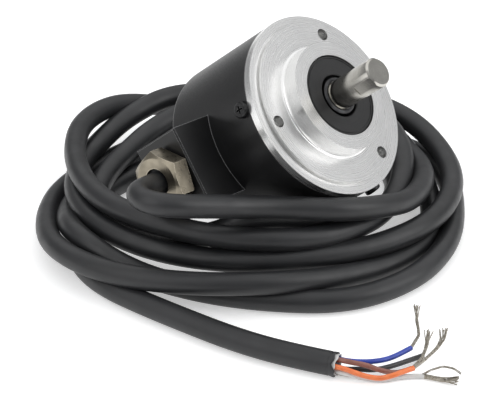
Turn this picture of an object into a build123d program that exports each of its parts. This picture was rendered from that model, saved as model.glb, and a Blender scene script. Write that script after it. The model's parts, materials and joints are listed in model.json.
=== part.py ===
"""Incremental rotary encoder, 50 mm, leaning in the coil of its own cable.

Encoder frame: origin at the centre of the flange face, +Z out along the shaft, +X out through the
cable gland. Every piece is modelled about that frame and `finish` then leans it as the encoder
lies: the rear rim of its cover on the surface, its flange on the cable. Millimetres, +Z up.
"""

import os
from math import cos, pi, radians, sin, tan

from build123d import *

os.makedirs("parts", exist_ok=True)

# ---------------------------------------------------------------- driving dimensions
running = 0.05  # radial clearance of what turns
seat = 0.1  # clearance of what is slid in or laid beside a neighbour
face_gap = 0.05  # axial clearance between neighbours

body_dia = 50.0
body_length = 35.0  # flange face to the rear of the cover
rim_length = 3.2  # thickness of the flange behind its face
rim_ledge = 2.7  # width of the lowered rim round the face
step_depth = 1.2  # the rim lies this far behind the face
rim_chamfer = 0.5
groove_width = 0.5
pilot_dia = 30.0
pilot_height = 5.0
pilot_base_fillet = 0.8
pilot_rim_fillet = 0.6
spigot_depth = 6.5  # how far the flange reaches into the cover
mount_inset = 5.0  # circle of the mounting holes in from the body's edge
mount_hole_dia = 3.3  # M4 tapping drill
mount_hole_depth = 6.0
mount_count = 3
mount_start = 0.0  # bearing of the first mounting hole from the gland

cover_wall = 2.0
cover_floor = 2.5
cover_fillet = 1.5
boss_width = 21.6
boss_length = 16.0
boss_reach = 36.0  # axis of the encoder to the outer face of the boss
boss_chamfer = 0.4
boss_wall = 2.5

shaft_dia = 8.0
shaft_free = 15.0  # shaft in front of the pilot
shaft_chamfer = 0.5
shaft_tail_dia = 6.0
tail_overhang = 1.0  # tail of the shaft behind the disc's hub
undercut_depth = 0.3  # relief turned where the free shaft begins
undercut_width = 0.8
flat_depth = 0.25
flat_length = 6.6
flat_bearings = (29.0, 119.0)

bearing_outer_dia = 16.0
bearing_width = 5.0
race_thickness = 1.3
ball_dia = 2.4
ball_count = 8
race_fillet = 0.3
cage_thickness = 1.0
cage_width = 3.0
washer_thickness = 0.2

pocket_dia = 22.4  # recess in the front of the pilot
pocket_depth = 3.4
seal_recess = 0.3
seal_lip_dia = 11.6
collar_dia = 10.4
collar_fillet = 0.8
seal_edge = 0.25
seal_groove_radii = (9.9, 10.4)
seal_groove_width = 0.2

clip_width = 0.8
clip_radial = 1.6  # depth of the clip's groove, taken off the shaft's diameter
clip_dia = 11.0
clip_mouth = 4.5

disc_dia = 30.0
disc_thickness = 0.5
disc_gap = 5.0  # rear bearing to the code disc
slot_count = 24
slot_length = 3.0
slot_inset = 2.5  # middle of the slots in from the disc's edge
hub_flange_dia = 16.0
hub_boss_dia = 11.0
hub_flange_thickness = 1.5
clamp_thickness = 0.8
clamp_dia = 15.0
clamp_circle_dia = 12.0
clamp_screw_dia = 1.6
clamp_screw_count = 3
hub_nose_dia = 8.0
slot_width = 1.4
index_slot_inset = 2.7  # index slot inside the row of slots
optics_gap = 0.8  # air between the code disc and the optics
optics_side_gap = 1.8  # light source to the flange's bearing hub
emitter_length = 4.0
emitter_width = 8.0
emitter_fillet = 0.8
led_dia = 3.0
led_length = 4.0
sensor_length = 6.0
sensor_width = 8.0
reticle_thickness = 0.5

board_side_gap = 0.8  # circuit board to the cover's wall
board_thickness = 1.2
board_gap = 5.0  # code disc to the circuit board
board_room = 7.4  # cover's floor to the front of the circuit board
pillar_inset = 2.6  # middle of the pillars in from the cover's wall
pillar_dia = 4.0
pillar_count = 3
pillar_start = 60.0
pillar_screw_dia = 2.0
board_screw_length = 4.0  # thread in the pillar
chip_pitch = 11.0
chip_length = 5.0
chip_width = 6.0
chip_height = 1.5
header_depth = 5.0
header_width = 12.0
header_height = 4.0
header_wall = 0.8

cover_screw_dia = 2.5
cover_screw_head_dia = 4.4
cover_screw_head_height = 1.3
cover_screw_count = 3
cover_screw_start = -15.7
cover_screw_drop = 5.5  # flange face to the cover screws
cover_screw_length = 5.0
cover_screw_depth = 4.0
oring_section = 1.4  # square-cut sealing ring in the spigot
oring_inset = 2.0  # rear of the spigot to the middle of the sealing ring

nut_flats = 14.4
nut_length = 5.2
nut_hole_dia = 7.8
nut_turn = 16.0
gland_thread_dia = 11.0
gland_collar_dia = 12.6
gland_collar_length = 0.8
grommet_dia = 9.0
grommet_bore_dia = 4.0
gland_lip = 1.0
nut_face_dia = 13.2  # flat front of the nut, inside its chamfer

cable_dia = 6.1
coil_inner_dia = 91.0
coil_outer_dia = 115.0
coil_height = 17.0
coil_x = -15.4
coil_y = 11.8
wire_dia = 1.3
wire_ring_r = 1.6  # how far the wires lie from the cable's middle
wire_straight = 2.4  # how far they leave the jacket straight
shield_dia = 1.0

# ---------------------------------------------------------------- places along the axis
pilot_top = pilot_height
rim_back = -rim_length
spigot_back = rim_back - spigot_depth
cover_front = rim_back - face_gap
cover_back = -body_length
shaft_tip = pilot_top + shaft_free
pocket_floor = pilot_top - pocket_depth
front_bearing_z = pocket_floor - washer_thickness - bearing_width / 2
board_z = cover_back + cover_floor + board_room  # front face of the circuit board
disc_z = board_z + board_gap + disc_thickness  # front face of the code disc
hub_back = disc_z + disc_gap
rear_bearing_z = hub_back + bearing_width / 2
boss_back = cover_back
boss_middle = boss_back + boss_length / 2
cover_inner_dia = body_dia - 2 * cover_wall
spigot_dia = cover_inner_dia - 2 * seat
face_dia = body_dia - 2 * rim_ledge
mount_circle_dia = body_dia - 2 * mount_inset
slot_circle_dia = disc_dia - 2 * slot_inset
optics_r = slot_circle_dia / 2
board_dia = cover_inner_dia - 2 * board_side_gap
pillar_circle_dia = cover_inner_dia - 2 * pillar_inset
inner_race_dia = shaft_dia + 2 * race_thickness
outer_race_dia = bearing_outer_dia - 2 * race_thickness
ball_pitch_dia = (inner_race_dia + outer_race_dia) / 2

nut_back = boss_reach + gland_collar_length + face_gap
nut_front = nut_back + nut_length
nut_lip = 1.2  # front lip of the nut, over the grommet
grommet_front = nut_front - nut_lip - face_gap
gland_axis_z = boss_middle

# ---------------------------------------------------------------- how the encoder lies
lean_angle = 40.3  # shaft above the horizontal
gland_roll = 83.0  # gland's turn about the shaft from straight up
lean_cos = cos(radians(lean_angle))
lean_sin = sin(radians(lean_angle))
rounded_length = body_length - cover_fillet
rounded_r = body_dia / 2 - cover_fillet
front_reach = shaft_tip * lean_cos + shaft_dia / 2 * lean_sin
back_reach = rounded_length * lean_cos + rounded_r * lean_sin + cover_fillet
gland_reach = nut_front * sin(radians(gland_roll)) + nut_face_dia / 2 * cos(radians(gland_roll))
shaft_dir = Vector(lean_cos, 0, lean_sin)
straight_up = Vector(-lean_sin, 0, lean_cos)
lean = Plane(
    origin=(
        (back_reach - front_reach) / 2,
        (gland_reach - body_dia / 2) / 2,
        rounded_length * lean_sin + rounded_r * lean_cos + cover_fillet,
    ),
    x_dir=straight_up.rotate(Axis((0, 0, 0), shaft_dir), gland_roll),
    z_dir=shaft_dir,
)


def export(shape, name):
    """Label a piece that is already in place and write it."""
    shape.label = name
    export_step(shape, f"parts/{name}.step")


def finish(piece, name):
    """Lean a piece of the encoder as the encoder lies, then write it."""
    export(piece.part.moved(lean.location), name)


def ring(outer_dia, inner_dia, low, high):
    """A plain turned ring about the shaft axis."""
    with BuildPart() as made:
        with BuildSketch(Plane.XY.offset(low)):
            Circle(outer_dia / 2)
            Circle(inner_dia / 2, mode=Mode.SUBTRACT)
        extrude(amount=high - low)
    return made


def across_gland(reach):
    """Plane square to the gland's axis, at a reach from the encoder's axis."""
    return Plane(origin=(reach, 0, gland_axis_z), x_dir=(0, 0, 1), z_dir=(1, 0, 0))


def radial_hole_plane(bearing, radius, z):
    """Plane facing outward at a bearing round the shaft, for holes and screws driven inward."""
    outward = Vector(1, 0, 0).rotate(Axis.Z, bearing)
    return Plane(origin=outward * radius + Vector(0, 0, z), x_dir=(0, 0, 1), z_dir=outward)


# ---------------------------------------------------------------- flange
hub_front = disc_z + hub_flange_thickness
hub_rear = disc_z - disc_thickness - clamp_thickness
hub_dia = 2 * (optics_r - optics_side_gap) - emitter_length
pocket_r = pocket_dia / 2
bearing_bore = bearing_outer_dia + 2 * running
shoulder_bore = outer_race_dia
oring_groove_z = spigot_back + oring_inset
oring_groove_dia = cover_inner_dia - 2 * oring_section - 2 * face_gap

with BuildPart() as flange:
    with BuildSketch(Plane.XZ) as flange_profile:
        with BuildLine():
            Polyline(
                (0, hub_back),
                (hub_dia / 2, hub_back),
                (hub_dia / 2, spigot_back),
                (spigot_dia / 2, spigot_back),
                (spigot_dia / 2, rim_back),
                (body_dia / 2, rim_back),
                (body_dia / 2, -step_depth),
                (face_dia / 2 + groove_width, -step_depth),
                (face_dia / 2 + groove_width, -step_depth - groove_width),
                (face_dia / 2, -step_depth - groove_width),
                (face_dia / 2, 0),
                (pilot_dia / 2, 0),
                (pilot_dia / 2, pilot_top),
                (0, pilot_top),
                close=True,
            )
        make_face()
        corners = flange_profile.vertices()
        fillet(corners.sort_by_distance((pilot_dia / 2, 0, 0))[0], pilot_base_fillet)
        fillet(corners.sort_by_distance((pilot_dia / 2, 0, pilot_top))[0], pilot_rim_fillet)
        chamfer(corners.sort_by_distance((body_dia / 2, 0, -step_depth))[0], rim_chamfer)
        chamfer(corners.sort_by_distance((body_dia / 2, 0, rim_back))[0], rim_chamfer / 2)
        chamfer(corners.sort_by_distance((face_dia / 2, 0, 0))[0], rim_chamfer)
    revolve(axis=Axis.Z)
    with BuildSketch(Plane.XY.offset(pilot_top)):
        Circle(pocket_r)
    extrude(amount=-pocket_depth, mode=Mode.SUBTRACT)
    with BuildSketch(Plane.XY.offset(pocket_floor)):
        Circle(bearing_bore / 2)
    extrude(amount=front_bearing_z - bearing_width / 2 - pocket_floor, mode=Mode.SUBTRACT)
    with BuildSketch(Plane.XY.offset(hub_back)):
        Circle(bearing_bore / 2)
    extrude(amount=bearing_width, mode=Mode.SUBTRACT)
    with BuildSketch(Plane.XY.offset(hub_back)):
        Circle(shoulder_bore / 2)
    extrude(amount=pilot_top - hub_back, mode=Mode.SUBTRACT)
    with BuildSketch(Plane.XY):
        with PolarLocations(mount_circle_dia / 2, mount_count, start_angle=mount_start):
            Circle(mount_hole_dia / 2)
    extrude(amount=-mount_hole_depth, mode=Mode.SUBTRACT)
    with BuildSketch(Plane.XY.offset(oring_groove_z - oring_section / 2 - face_gap)):
        Circle(spigot_dia / 2 + seat)
        Circle(oring_groove_dia / 2, mode=Mode.SUBTRACT)
    extrude(amount=oring_section + 2 * face_gap, mode=Mode.SUBTRACT)
    for step in range(cover_screw_count):
        bearing = cover_screw_start + step * 360 / cover_screw_count
        with BuildSketch(radial_hole_plane(bearing, spigot_dia / 2, -cover_screw_drop)):
            Circle(cover_screw_dia / 2 + running)
        extrude(amount=-cover_screw_depth, mode=Mode.SUBTRACT)
finish(flange, "flange")

# ---------------------------------------------------------------- cover with the cable boss
with BuildPart() as cover:
    with BuildSketch(Plane.XY.offset(cover_back)):
        Circle(body_dia / 2)
    extrude(amount=cover_front - cover_back)
    fillet(cover.edges().group_by(Axis.Z)[0], cover_fillet)
    with BuildSketch(Plane.XY.offset(boss_back)):
        with Locations((boss_reach / 2, 0)):
            Rectangle(boss_reach, boss_width)
    extrude(amount=boss_length)
    outer_edges = cover.faces().sort_by(Axis.X)[-1].edges()
    chamfer(outer_edges, boss_chamfer)
    with BuildSketch(Plane.XY.offset(cover_back + cover_floor)):
        Circle(cover_inner_dia / 2)
    extrude(amount=body_length - cover_floor, mode=Mode.SUBTRACT)
    with BuildSketch(Plane.XY.offset(boss_back + boss_wall)):
        with Locations((boss_reach / 2 - boss_wall / 2, 0)):
            Rectangle(boss_reach - boss_wall, boss_width - 2 * boss_wall)
    extrude(amount=boss_length - 2 * boss_wall, mode=Mode.SUBTRACT)
    with BuildSketch(across_gland(boss_reach)):
        Circle(gland_thread_dia / 2 + running)
    extrude(amount=-2 * boss_wall, mode=Mode.SUBTRACT)
    for step in range(cover_screw_count):
        bearing = cover_screw_start + step * 360 / cover_screw_count
        with BuildSketch(radial_hole_plane(bearing, body_dia / 2 + 1, -cover_screw_drop)):
            Circle(cover_screw_dia / 2 + running)
        extrude(amount=-cover_wall - 2, mode=Mode.SUBTRACT)
finish(cover, "body_cover")

# cover screws: pan heads on the cover, driven into the flange's spigot
with BuildPart() as cover_screws:
    for step in range(cover_screw_count):
        bearing = cover_screw_start + step * 360 / cover_screw_count
        with BuildSketch(radial_hole_plane(bearing, body_dia / 2, -cover_screw_drop)):
            Circle(cover_screw_head_dia / 2)
        extrude(amount=cover_screw_head_height)
        with BuildSketch(radial_hole_plane(bearing, body_dia / 2, -cover_screw_drop)):
            Circle(cover_screw_dia / 2)
        extrude(amount=-cover_screw_length)
    heads = cover_screws.edges().filter_by(GeomType.CIRCLE)
    rims = [edge for edge in heads if abs(edge.radius - cover_screw_head_dia / 2) < 0.01]
    tops = [
        edge
        for edge in rims
        if edge.center().X ** 2 + edge.center().Y ** 2
        > (body_dia / 2 + cover_screw_head_height / 2) ** 2
    ]
    fillet(tops, cover_screw_head_height * 0.4)
    for step in range(cover_screw_count):
        bearing = cover_screw_start + step * 360 / cover_screw_count
        head_top = body_dia / 2 + cover_screw_head_height
        with BuildSketch(radial_hole_plane(bearing, head_top, -cover_screw_drop)):
            Rectangle(cover_screw_head_dia * 0.55, 0.5)
            Rectangle(0.5, cover_screw_head_dia * 0.55)
        extrude(amount=-cover_screw_head_height / 2, mode=Mode.SUBTRACT)
finish(cover_screws, "cover_screws")

gasket = ring(
    cover_inner_dia - face_gap,
    oring_groove_dia + face_gap,
    oring_groove_z - oring_section / 2,
    oring_groove_z + oring_section / 2,
)
finish(gasket, "cover_gasket")

# ---------------------------------------------------------------- shaft
clip_z = hub_back - running  # front face of the retaining clip
shaft_shoulder = clip_z - 2 * clip_width  # where the journal ends and the tail begins
clip_groove_dia = shaft_dia - clip_radial

with BuildPart() as shaft:
    with BuildSketch(Plane.XY.offset(shaft_shoulder)):
        Circle(shaft_dia / 2)
    extrude(amount=shaft_tip - shaft_shoulder)
    chamfer(shaft.edges().group_by(Axis.Z)[-1], shaft_chamfer)
    with BuildSketch(Plane.XY.offset(shaft_shoulder)):
        Circle(shaft_tail_dia / 2)
    extrude(amount=hub_rear - tail_overhang - shaft_shoulder)
    with BuildSketch(Plane.XY.offset(clip_z)):
        Circle(shaft_dia)
        Circle(clip_groove_dia / 2, mode=Mode.SUBTRACT)
    extrude(amount=-clip_width - running, mode=Mode.SUBTRACT)
    with BuildSketch(Plane.XY.offset(pilot_top - seat)):
        Circle(shaft_dia)
        Circle(shaft_dia / 2 - undercut_depth, mode=Mode.SUBTRACT)
    extrude(amount=undercut_width, mode=Mode.SUBTRACT)
    for bearing in flat_bearings:
        with BuildSketch(radial_hole_plane(bearing, shaft_dia / 2 - flat_depth, shaft_tip)):
            Rectangle(2 * flat_length, shaft_dia)
        extrude(amount=shaft_dia, mode=Mode.SUBTRACT)
finish(shaft, "shaft")

# ---------------------------------------------------------------- bearings
race_groove_r = ball_dia / 2 + running
race_half_gap = race_groove_r * 0.8


def bearing_race(outer_dia, inner_dia, middle_z):
    """One ring of a deep-groove bearing, with the ball track turned in it."""
    with BuildPart() as made:
        with BuildSketch(Plane.XZ) as section:
            with Locations(((outer_dia + inner_dia) / 4, middle_z)):
                Rectangle((outer_dia - inner_dia) / 2, bearing_width)
            with Locations((ball_pitch_dia / 2, middle_z)):
                Circle(race_groove_r, mode=Mode.SUBTRACT)
        revolve(axis=Axis.Z)
    return made


def bearing_balls(middle_z):
    """The balls of one bearing."""
    with BuildPart() as made:
        with Locations((0, 0, middle_z)):
            with PolarLocations(ball_pitch_dia / 2, ball_count):
                Sphere(ball_dia / 2)
    return made


def bearing_cage(middle_z):
    """Flat cage with one pocket for each ball."""
    with BuildPart() as made:
        with BuildSketch(Plane.XY.offset(middle_z - cage_width / 2)):
            Circle(ball_pitch_dia / 2 + cage_thickness / 2)
            Circle(ball_pitch_dia / 2 - cage_thickness / 2, mode=Mode.SUBTRACT)
        extrude(amount=cage_width)
        for step in range(ball_count):
            bearing = step * 360 / ball_count
            with BuildSketch(radial_hole_plane(bearing, ball_pitch_dia / 2, middle_z)):
                Circle(race_groove_r)
            extrude(amount=cage_thickness, both=True, mode=Mode.SUBTRACT)
    return made


for place, middle_z in (("front", front_bearing_z), ("rear", rear_bearing_z)):
    outer_race = bearing_race(bearing_outer_dia, outer_race_dia, middle_z)
    finish(outer_race, f"{place}_bearing_outer_ring")
    inner_race = bearing_race(inner_race_dia, shaft_dia + 2 * running, middle_z)
    finish(inner_race, f"{place}_bearing_inner_ring")
    finish(bearing_balls(middle_z), f"{place}_bearing_balls")
    finish(bearing_cage(middle_z), f"{place}_bearing_cage")

# ---------------------------------------------------------------- what retains the bearings
front_bearing_face = front_bearing_z + bearing_width / 2
preload_washer = ring(bearing_outer_dia, outer_race_dia, front_bearing_face, pocket_floor)
finish(preload_washer, "preload_washer")

spacer = ring(
    inner_race_dia - 2 * running,
    shaft_dia + 2 * running,
    rear_bearing_z + bearing_width / 2,
    front_bearing_z - bearing_width / 2,
)
finish(spacer, "bearing_spacer")

seal_front = pilot_top - seal_recess
with BuildPart() as seal_cover:
    with BuildSketch(Plane.XY.offset(pocket_floor)):
        Circle(pocket_r - seat)
        Circle(seal_lip_dia / 2, mode=Mode.SUBTRACT)
    extrude(amount=seal_front - pocket_floor)
    front_rims = seal_cover.edges().group_by(Axis.Z)[-1]
    chamfer(front_rims, seal_edge)
    with BuildSketch(Plane.XY.offset(seal_front)):
        for groove_r in seal_groove_radii:
            Circle(groove_r + seal_groove_width / 2)
            Circle(groove_r - seal_groove_width / 2, mode=Mode.SUBTRACT)
    extrude(amount=-seal_groove_width, mode=Mode.SUBTRACT)
finish(seal_cover, "seal_cover")

with BuildPart() as collar:
    with BuildSketch(Plane.XY.offset(front_bearing_face)):
        Circle(collar_dia / 2)
        Circle(shaft_dia / 2 + running, mode=Mode.SUBTRACT)
    extrude(amount=pilot_top - front_bearing_face)
    collar_rim = collar.edges().group_by(Axis.Z)[-1].sort_by(SortBy.RADIUS)[-1]
    fillet(collar_rim, collar_fillet)
finish(collar, "shaft_collar")

with BuildPart() as clip:
    with BuildSketch(Plane.XY.offset(clip_z - clip_width)):
        Circle(clip_dia / 2)
        Circle(clip_groove_dia / 2 + running, mode=Mode.SUBTRACT)
        with Locations((-clip_dia / 2, 0)):
            Rectangle(clip_dia, clip_mouth, mode=Mode.SUBTRACT)
    extrude(amount=clip_width)
finish(clip, "shaft_clip")

# ---------------------------------------------------------------- code disc on its hub
with BuildPart() as hub:
    with BuildSketch(Plane.XY.offset(disc_z)):
        Circle(hub_flange_dia / 2)
    extrude(amount=hub_flange_thickness)
    with BuildSketch(Plane.XY.offset(hub_front)):
        Circle(hub_boss_dia / 2)
    extrude(amount=shaft_shoulder - hub_front)
    with BuildSketch(Plane.XY.offset(disc_z)):
        Circle(hub_nose_dia / 2)
    extrude(amount=hub_rear - disc_z)
    with BuildSketch(Plane.XY.offset(hub_rear)):
        Circle(shaft_tail_dia / 2 + running)
    extrude(amount=shaft_shoulder - hub_rear, mode=Mode.SUBTRACT)
    with BuildSketch(Plane.XY.offset(disc_z)):
        with PolarLocations(clamp_circle_dia / 2, clamp_screw_count):
            Circle(clamp_screw_dia / 2 + running)
    extrude(amount=hub_flange_thickness, mode=Mode.SUBTRACT)
finish(hub, "disc_hub")

with BuildPart() as disc:
    with BuildSketch(Plane.XY.offset(disc_z - disc_thickness)):
        Circle(disc_dia / 2)
        Circle(hub_nose_dia / 2 + seat, mode=Mode.SUBTRACT)
        with PolarLocations(slot_circle_dia / 2, slot_count):
            Rectangle(slot_length, slot_width, mode=Mode.SUBTRACT)
        with Locations((optics_r - index_slot_inset, 0)):
            Rectangle(slot_length / 2, slot_width, mode=Mode.SUBTRACT)
        with PolarLocations(clamp_circle_dia / 2, clamp_screw_count):
            Circle(clamp_screw_dia / 2 + running, mode=Mode.SUBTRACT)
    extrude(amount=disc_thickness)
finish(disc, "code_disc")

with BuildPart() as clamp:
    with BuildSketch(Plane.XY.offset(hub_rear)):
        Circle(clamp_dia / 2)
        Circle(hub_nose_dia / 2 + seat, mode=Mode.SUBTRACT)
        with PolarLocations(clamp_circle_dia / 2, clamp_screw_count):
            Circle(clamp_screw_dia / 2 + running, mode=Mode.SUBTRACT)
    extrude(amount=clamp_thickness)
finish(clamp, "disc_clamp_ring")

with BuildPart() as clamp_screws:
    with BuildSketch(Plane.XY.offset(hub_rear)):
        with PolarLocations(clamp_circle_dia / 2, clamp_screw_count):
            Circle(clamp_screw_dia * 0.9)
    extrude(amount=-clamp_screw_dia / 2)
    with BuildSketch(Plane.XY.offset(hub_rear)):
        with PolarLocations(clamp_circle_dia / 2, clamp_screw_count):
            Circle(clamp_screw_dia / 2)
    extrude(amount=hub_front - hub_rear)
finish(clamp_screws, "disc_clamp_screws")

# ---------------------------------------------------------------- light source and pick-up
emitter_tip = disc_z + optics_gap
sensor_top = disc_z - disc_thickness - optics_gap - reticle_thickness

with BuildPart() as emitter_holder:
    with BuildSketch(Plane.XY.offset(spigot_back)):
        with Locations((optics_r, 0)):
            Rectangle(emitter_length, emitter_width)
    extrude(amount=emitter_tip - spigot_back)
    fillet(emitter_holder.edges().filter_by(Axis.Z), emitter_fillet)
    with BuildSketch(Plane.XY.offset(emitter_tip)):
        with Locations((optics_r, 0)):
            Circle(led_dia / 2 + running)
    extrude(amount=led_length, mode=Mode.SUBTRACT)
finish(emitter_holder, "emitter_holder")

with BuildPart() as led:
    with BuildSketch(Plane.XY.offset(emitter_tip)):
        with Locations((optics_r, 0)):
            Circle(led_dia / 2)
    extrude(amount=led_length - running)
    fillet(led.edges().group_by(Axis.Z)[0], led_dia * 0.3)
finish(led, "emitter_led")

with BuildPart() as sensor:
    with BuildSketch(Plane.XY.offset(board_z)):
        with Locations((optics_r, 0)):
            Rectangle(sensor_length, sensor_width)
    extrude(amount=sensor_top - board_z)
    with BuildSketch(Plane.XY.offset(sensor_top)):
        with Locations((optics_r, 0)):
            Rectangle(slot_length, sensor_width / 2)
    extrude(amount=-slot_length / 2, mode=Mode.SUBTRACT)
finish(sensor, "sensor_housing")

with BuildPart() as reticle:
    with BuildSketch(Plane.XY.offset(sensor_top)):
        with Locations((optics_r, 0)):
            Rectangle(sensor_length - 2 * seat, sensor_width - 2 * seat)
    extrude(amount=reticle_thickness)
finish(reticle, "reticle_glass")

# ---------------------------------------------------------------- circuit board
board_back = board_z - board_thickness
with BuildPart() as board:
    with BuildSketch(Plane.XY.offset(board_back)):
        Circle(board_dia / 2)
        with PolarLocations(pillar_circle_dia / 2, pillar_count, start_angle=pillar_start):
            Circle(pillar_screw_dia / 2 + running, mode=Mode.SUBTRACT)
    extrude(amount=board_thickness)
finish(board, "circuit_board")

with BuildPart() as pillars:
    with BuildSketch(Plane.XY.offset(board_z)):
        with PolarLocations(pillar_circle_dia / 2, pillar_count, start_angle=pillar_start):
            RegularPolygon(pillar_dia / 2, 6)
    extrude(amount=spigot_back - board_z)
    with BuildSketch(Plane.XY.offset(board_z)):
        with PolarLocations(pillar_circle_dia / 2, pillar_count, start_angle=pillar_start):
            Circle(pillar_screw_dia / 2 + running)
    extrude(amount=board_screw_length, mode=Mode.SUBTRACT)
finish(pillars, "board_pillars")

with BuildPart() as board_screws:
    with BuildSketch(Plane.XY.offset(board_back)):
        with PolarLocations(pillar_circle_dia / 2, pillar_count, start_angle=pillar_start):
            Circle(pillar_screw_dia * 0.85)
    extrude(amount=-pillar_screw_dia * 0.6)
    with BuildSketch(Plane.XY.offset(board_back)):
        with PolarLocations(pillar_circle_dia / 2, pillar_count, start_angle=pillar_start):
            Circle(pillar_screw_dia / 2)
    extrude(amount=board_thickness + board_screw_length - seat)
finish(board_screws, "board_screws")

with BuildPart() as chips:
    with BuildSketch(Plane.XY.offset(board_back)):
        with Locations((-chip_pitch / 2, -chip_pitch / 2), (-chip_pitch / 2, chip_pitch / 2)):
            Rectangle(chip_length, chip_width)
    extrude(amount=-chip_height)
finish(chips, "line_driver_chips")

with BuildPart() as header:
    with BuildSketch(Plane.XY.offset(board_back)):
        with Locations((optics_r - header_depth / 2, 0)):
            Rectangle(header_depth, header_width)
    extrude(amount=-header_height)
    with BuildSketch(Plane.XY.offset(board_back - header_height)):
        with Locations((optics_r - header_depth / 2, 0)):
            Rectangle(header_depth - 2 * header_wall, header_width - 2 * header_wall)
    extrude(amount=header_height - header_wall, mode=Mode.SUBTRACT)
finish(header, "cable_header")

# ---------------------------------------------------------------- cable gland
with BuildPart() as gland_body:
    with BuildSketch(across_gland(boss_reach - boss_wall)):
        Circle(gland_thread_dia / 2)
    extrude(amount=grommet_front - seat - boss_reach + boss_wall)
    with BuildSketch(across_gland(boss_reach)):
        Circle(gland_collar_dia / 2)
    extrude(amount=gland_collar_length)
    with BuildSketch(across_gland(boss_reach - boss_wall + gland_lip)):
        Circle(grommet_dia / 2 + running)
    extrude(amount=nut_front - boss_reach + boss_wall, mode=Mode.SUBTRACT)
    with BuildSketch(across_gland(boss_reach - boss_wall)):
        Circle(cable_dia / 2 + seat)
    extrude(amount=gland_lip, mode=Mode.SUBTRACT)
finish(gland_body, "gland_body")

with BuildPart() as grommet:
    with BuildSketch(across_gland(boss_reach - boss_wall + gland_lip)):
        Circle(grommet_dia / 2)
        Circle(grommet_bore_dia / 2, mode=Mode.SUBTRACT)
    extrude(amount=grommet_front - boss_reach + boss_wall - gland_lip)
finish(grommet, "gland_grommet")

nut_corner_r = nut_flats / 2 / cos(radians(30))
with BuildPart() as nut:
    with BuildSketch(across_gland(nut_back)):
        RegularPolygon(nut_corner_r, 6, rotation=nut_turn)
    extrude(amount=nut_length)
    with BuildSketch(Plane(origin=(0, 0, gland_axis_z), x_dir=(0, 0, 1), z_dir=(0, 1, 0))):
        with BuildLine():
            Polyline(
                (nut_face_dia / 2, nut_front),
                (nut_corner_r + 1, nut_front),
                (nut_corner_r + 1, nut_front - (nut_corner_r + 1 - nut_face_dia / 2) * tan(radians(30))),
                close=True,
            )
        make_face()
    revolve(axis=Axis((0, 0, gland_axis_z), (1, 0, 0)), mode=Mode.SUBTRACT)
    with BuildSketch(across_gland(nut_back)):
        Circle(gland_thread_dia / 2 + running)
    extrude(amount=nut_length - nut_lip, mode=Mode.SUBTRACT)
    with BuildSketch(across_gland(nut_back)):
        Circle(nut_hole_dia / 2)
    extrude(amount=nut_length, mode=Mode.SUBTRACT)
finish(nut, "gland_nut")

# ---------------------------------------------------------------- cable
def bend_radii(points):
    """Largest bend at each corner of a route: 0.45 of its shorter run over the tangent of half the turn."""
    corners = [Vector(point) for point in points]
    radii = []
    for before, here, after in zip(corners, corners[1:], corners[2:]):
        half_turn = radians((here - before).get_angle(after - here)) / 2
        radii.append(0.45 * min((here - before).length, (after - here).length) / tan(half_turn))
    return radii


def cable_tube(points, diameter, name):
    """A round cable along straight runs joined by tangent arcs."""
    radii = bend_radii(points)
    with BuildPart() as made:
        with BuildLine() as route:
            FilletPolyline(*points, radius=radii)
        with BuildSketch(Plane(origin=points[0], z_dir=Vector(points[1]) - Vector(points[0]))):
            Circle(diameter / 2)
        sweep(path=route.wire())
    length = route.wire().length
    expected = pi * diameter**2 / 4 * length
    print(
        name,
        f"length {length:.1f}, radii {[round(radius, 1) for radius in radii]}",
        f"volume over section times length {made.part.volume / expected:.4f}",
    )
    export(made.part, name)


def beyond_nut(distance):
    """A point on the gland's axis, at a distance in front of the grommet."""
    local = Vector(grommet_front + distance, 0, gland_axis_z)
    return tuple(lean.from_local_coords(local))


# out of the gland, back round itself and down on the coil in front of the flange
cable_tube(
    [
        beyond_nut(0),
        beyond_nut(5.0),
        (-10.9, -41.9, 29.0),
        (-7.4, -45.2, 29.8),
        (-2.2, -45.7, 30.1),
        (2.5, -42.3, 29.5),
        (5.9, -35.4, 27.6),
        (9.9, -25.8, 24.6),
        (17.6, -15.0, 22.1),
        (28.0, -7.4, 21.4),
        (32.4, 5.2, 18.4),
        (32.5, 18.9, 14.4),
    ],
    cable_dia,
    "cable_lead",
)

with BuildPart() as coil:
    with BuildSketch(Plane.XZ) as coil_section:
        with Locations(((coil_inner_dia + coil_outer_dia) / 4, coil_height / 2)):
            Rectangle((coil_outer_dia - coil_inner_dia) / 2, coil_height)
        chamfer(coil_section.vertices(), cable_dia / 3)
    revolve(axis=Axis.Z)
export(coil.part.moved(Location((coil_x, coil_y, 0))), "cable_coil")

# from under the front of the coil to the cut end of the jacket
cable_rest = cable_dia / 2 + face_gap
tail_route = [
    (-35.3, -31.9, cable_rest),
    (-27.3, -41.4, cable_rest),
    (-16.3, -47.4, cable_rest),
    (-3.3, -49.7, cable_rest),
    (11.2, -50.3, cable_rest),
    (25.7, -50.1, cable_rest),
    (39.7, -48.3, cable_rest),
    (52.0, -45.0, cable_rest),
]
cable_tube(tail_route, cable_dia, "cable_tail")

# ---------------------------------------------------------------- wires at the cut end
jacket_end = Vector(tail_route[-1])
jacket_dir = (jacket_end - Vector(tail_route[-2])).normalized()
jacket_side = Vector(-jacket_dir.Y, jacket_dir.X, 0)


def from_jacket(bearing, radius):
    """The first two points of a wire: on the jacket's end face, then straight out of it."""
    spread = jacket_side * radius * cos(radians(bearing)) + Vector(0, 0, radius * sin(radians(bearing)))
    start = jacket_end + spread
    return [tuple(start), tuple(start + jacket_dir * wire_straight)]


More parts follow.
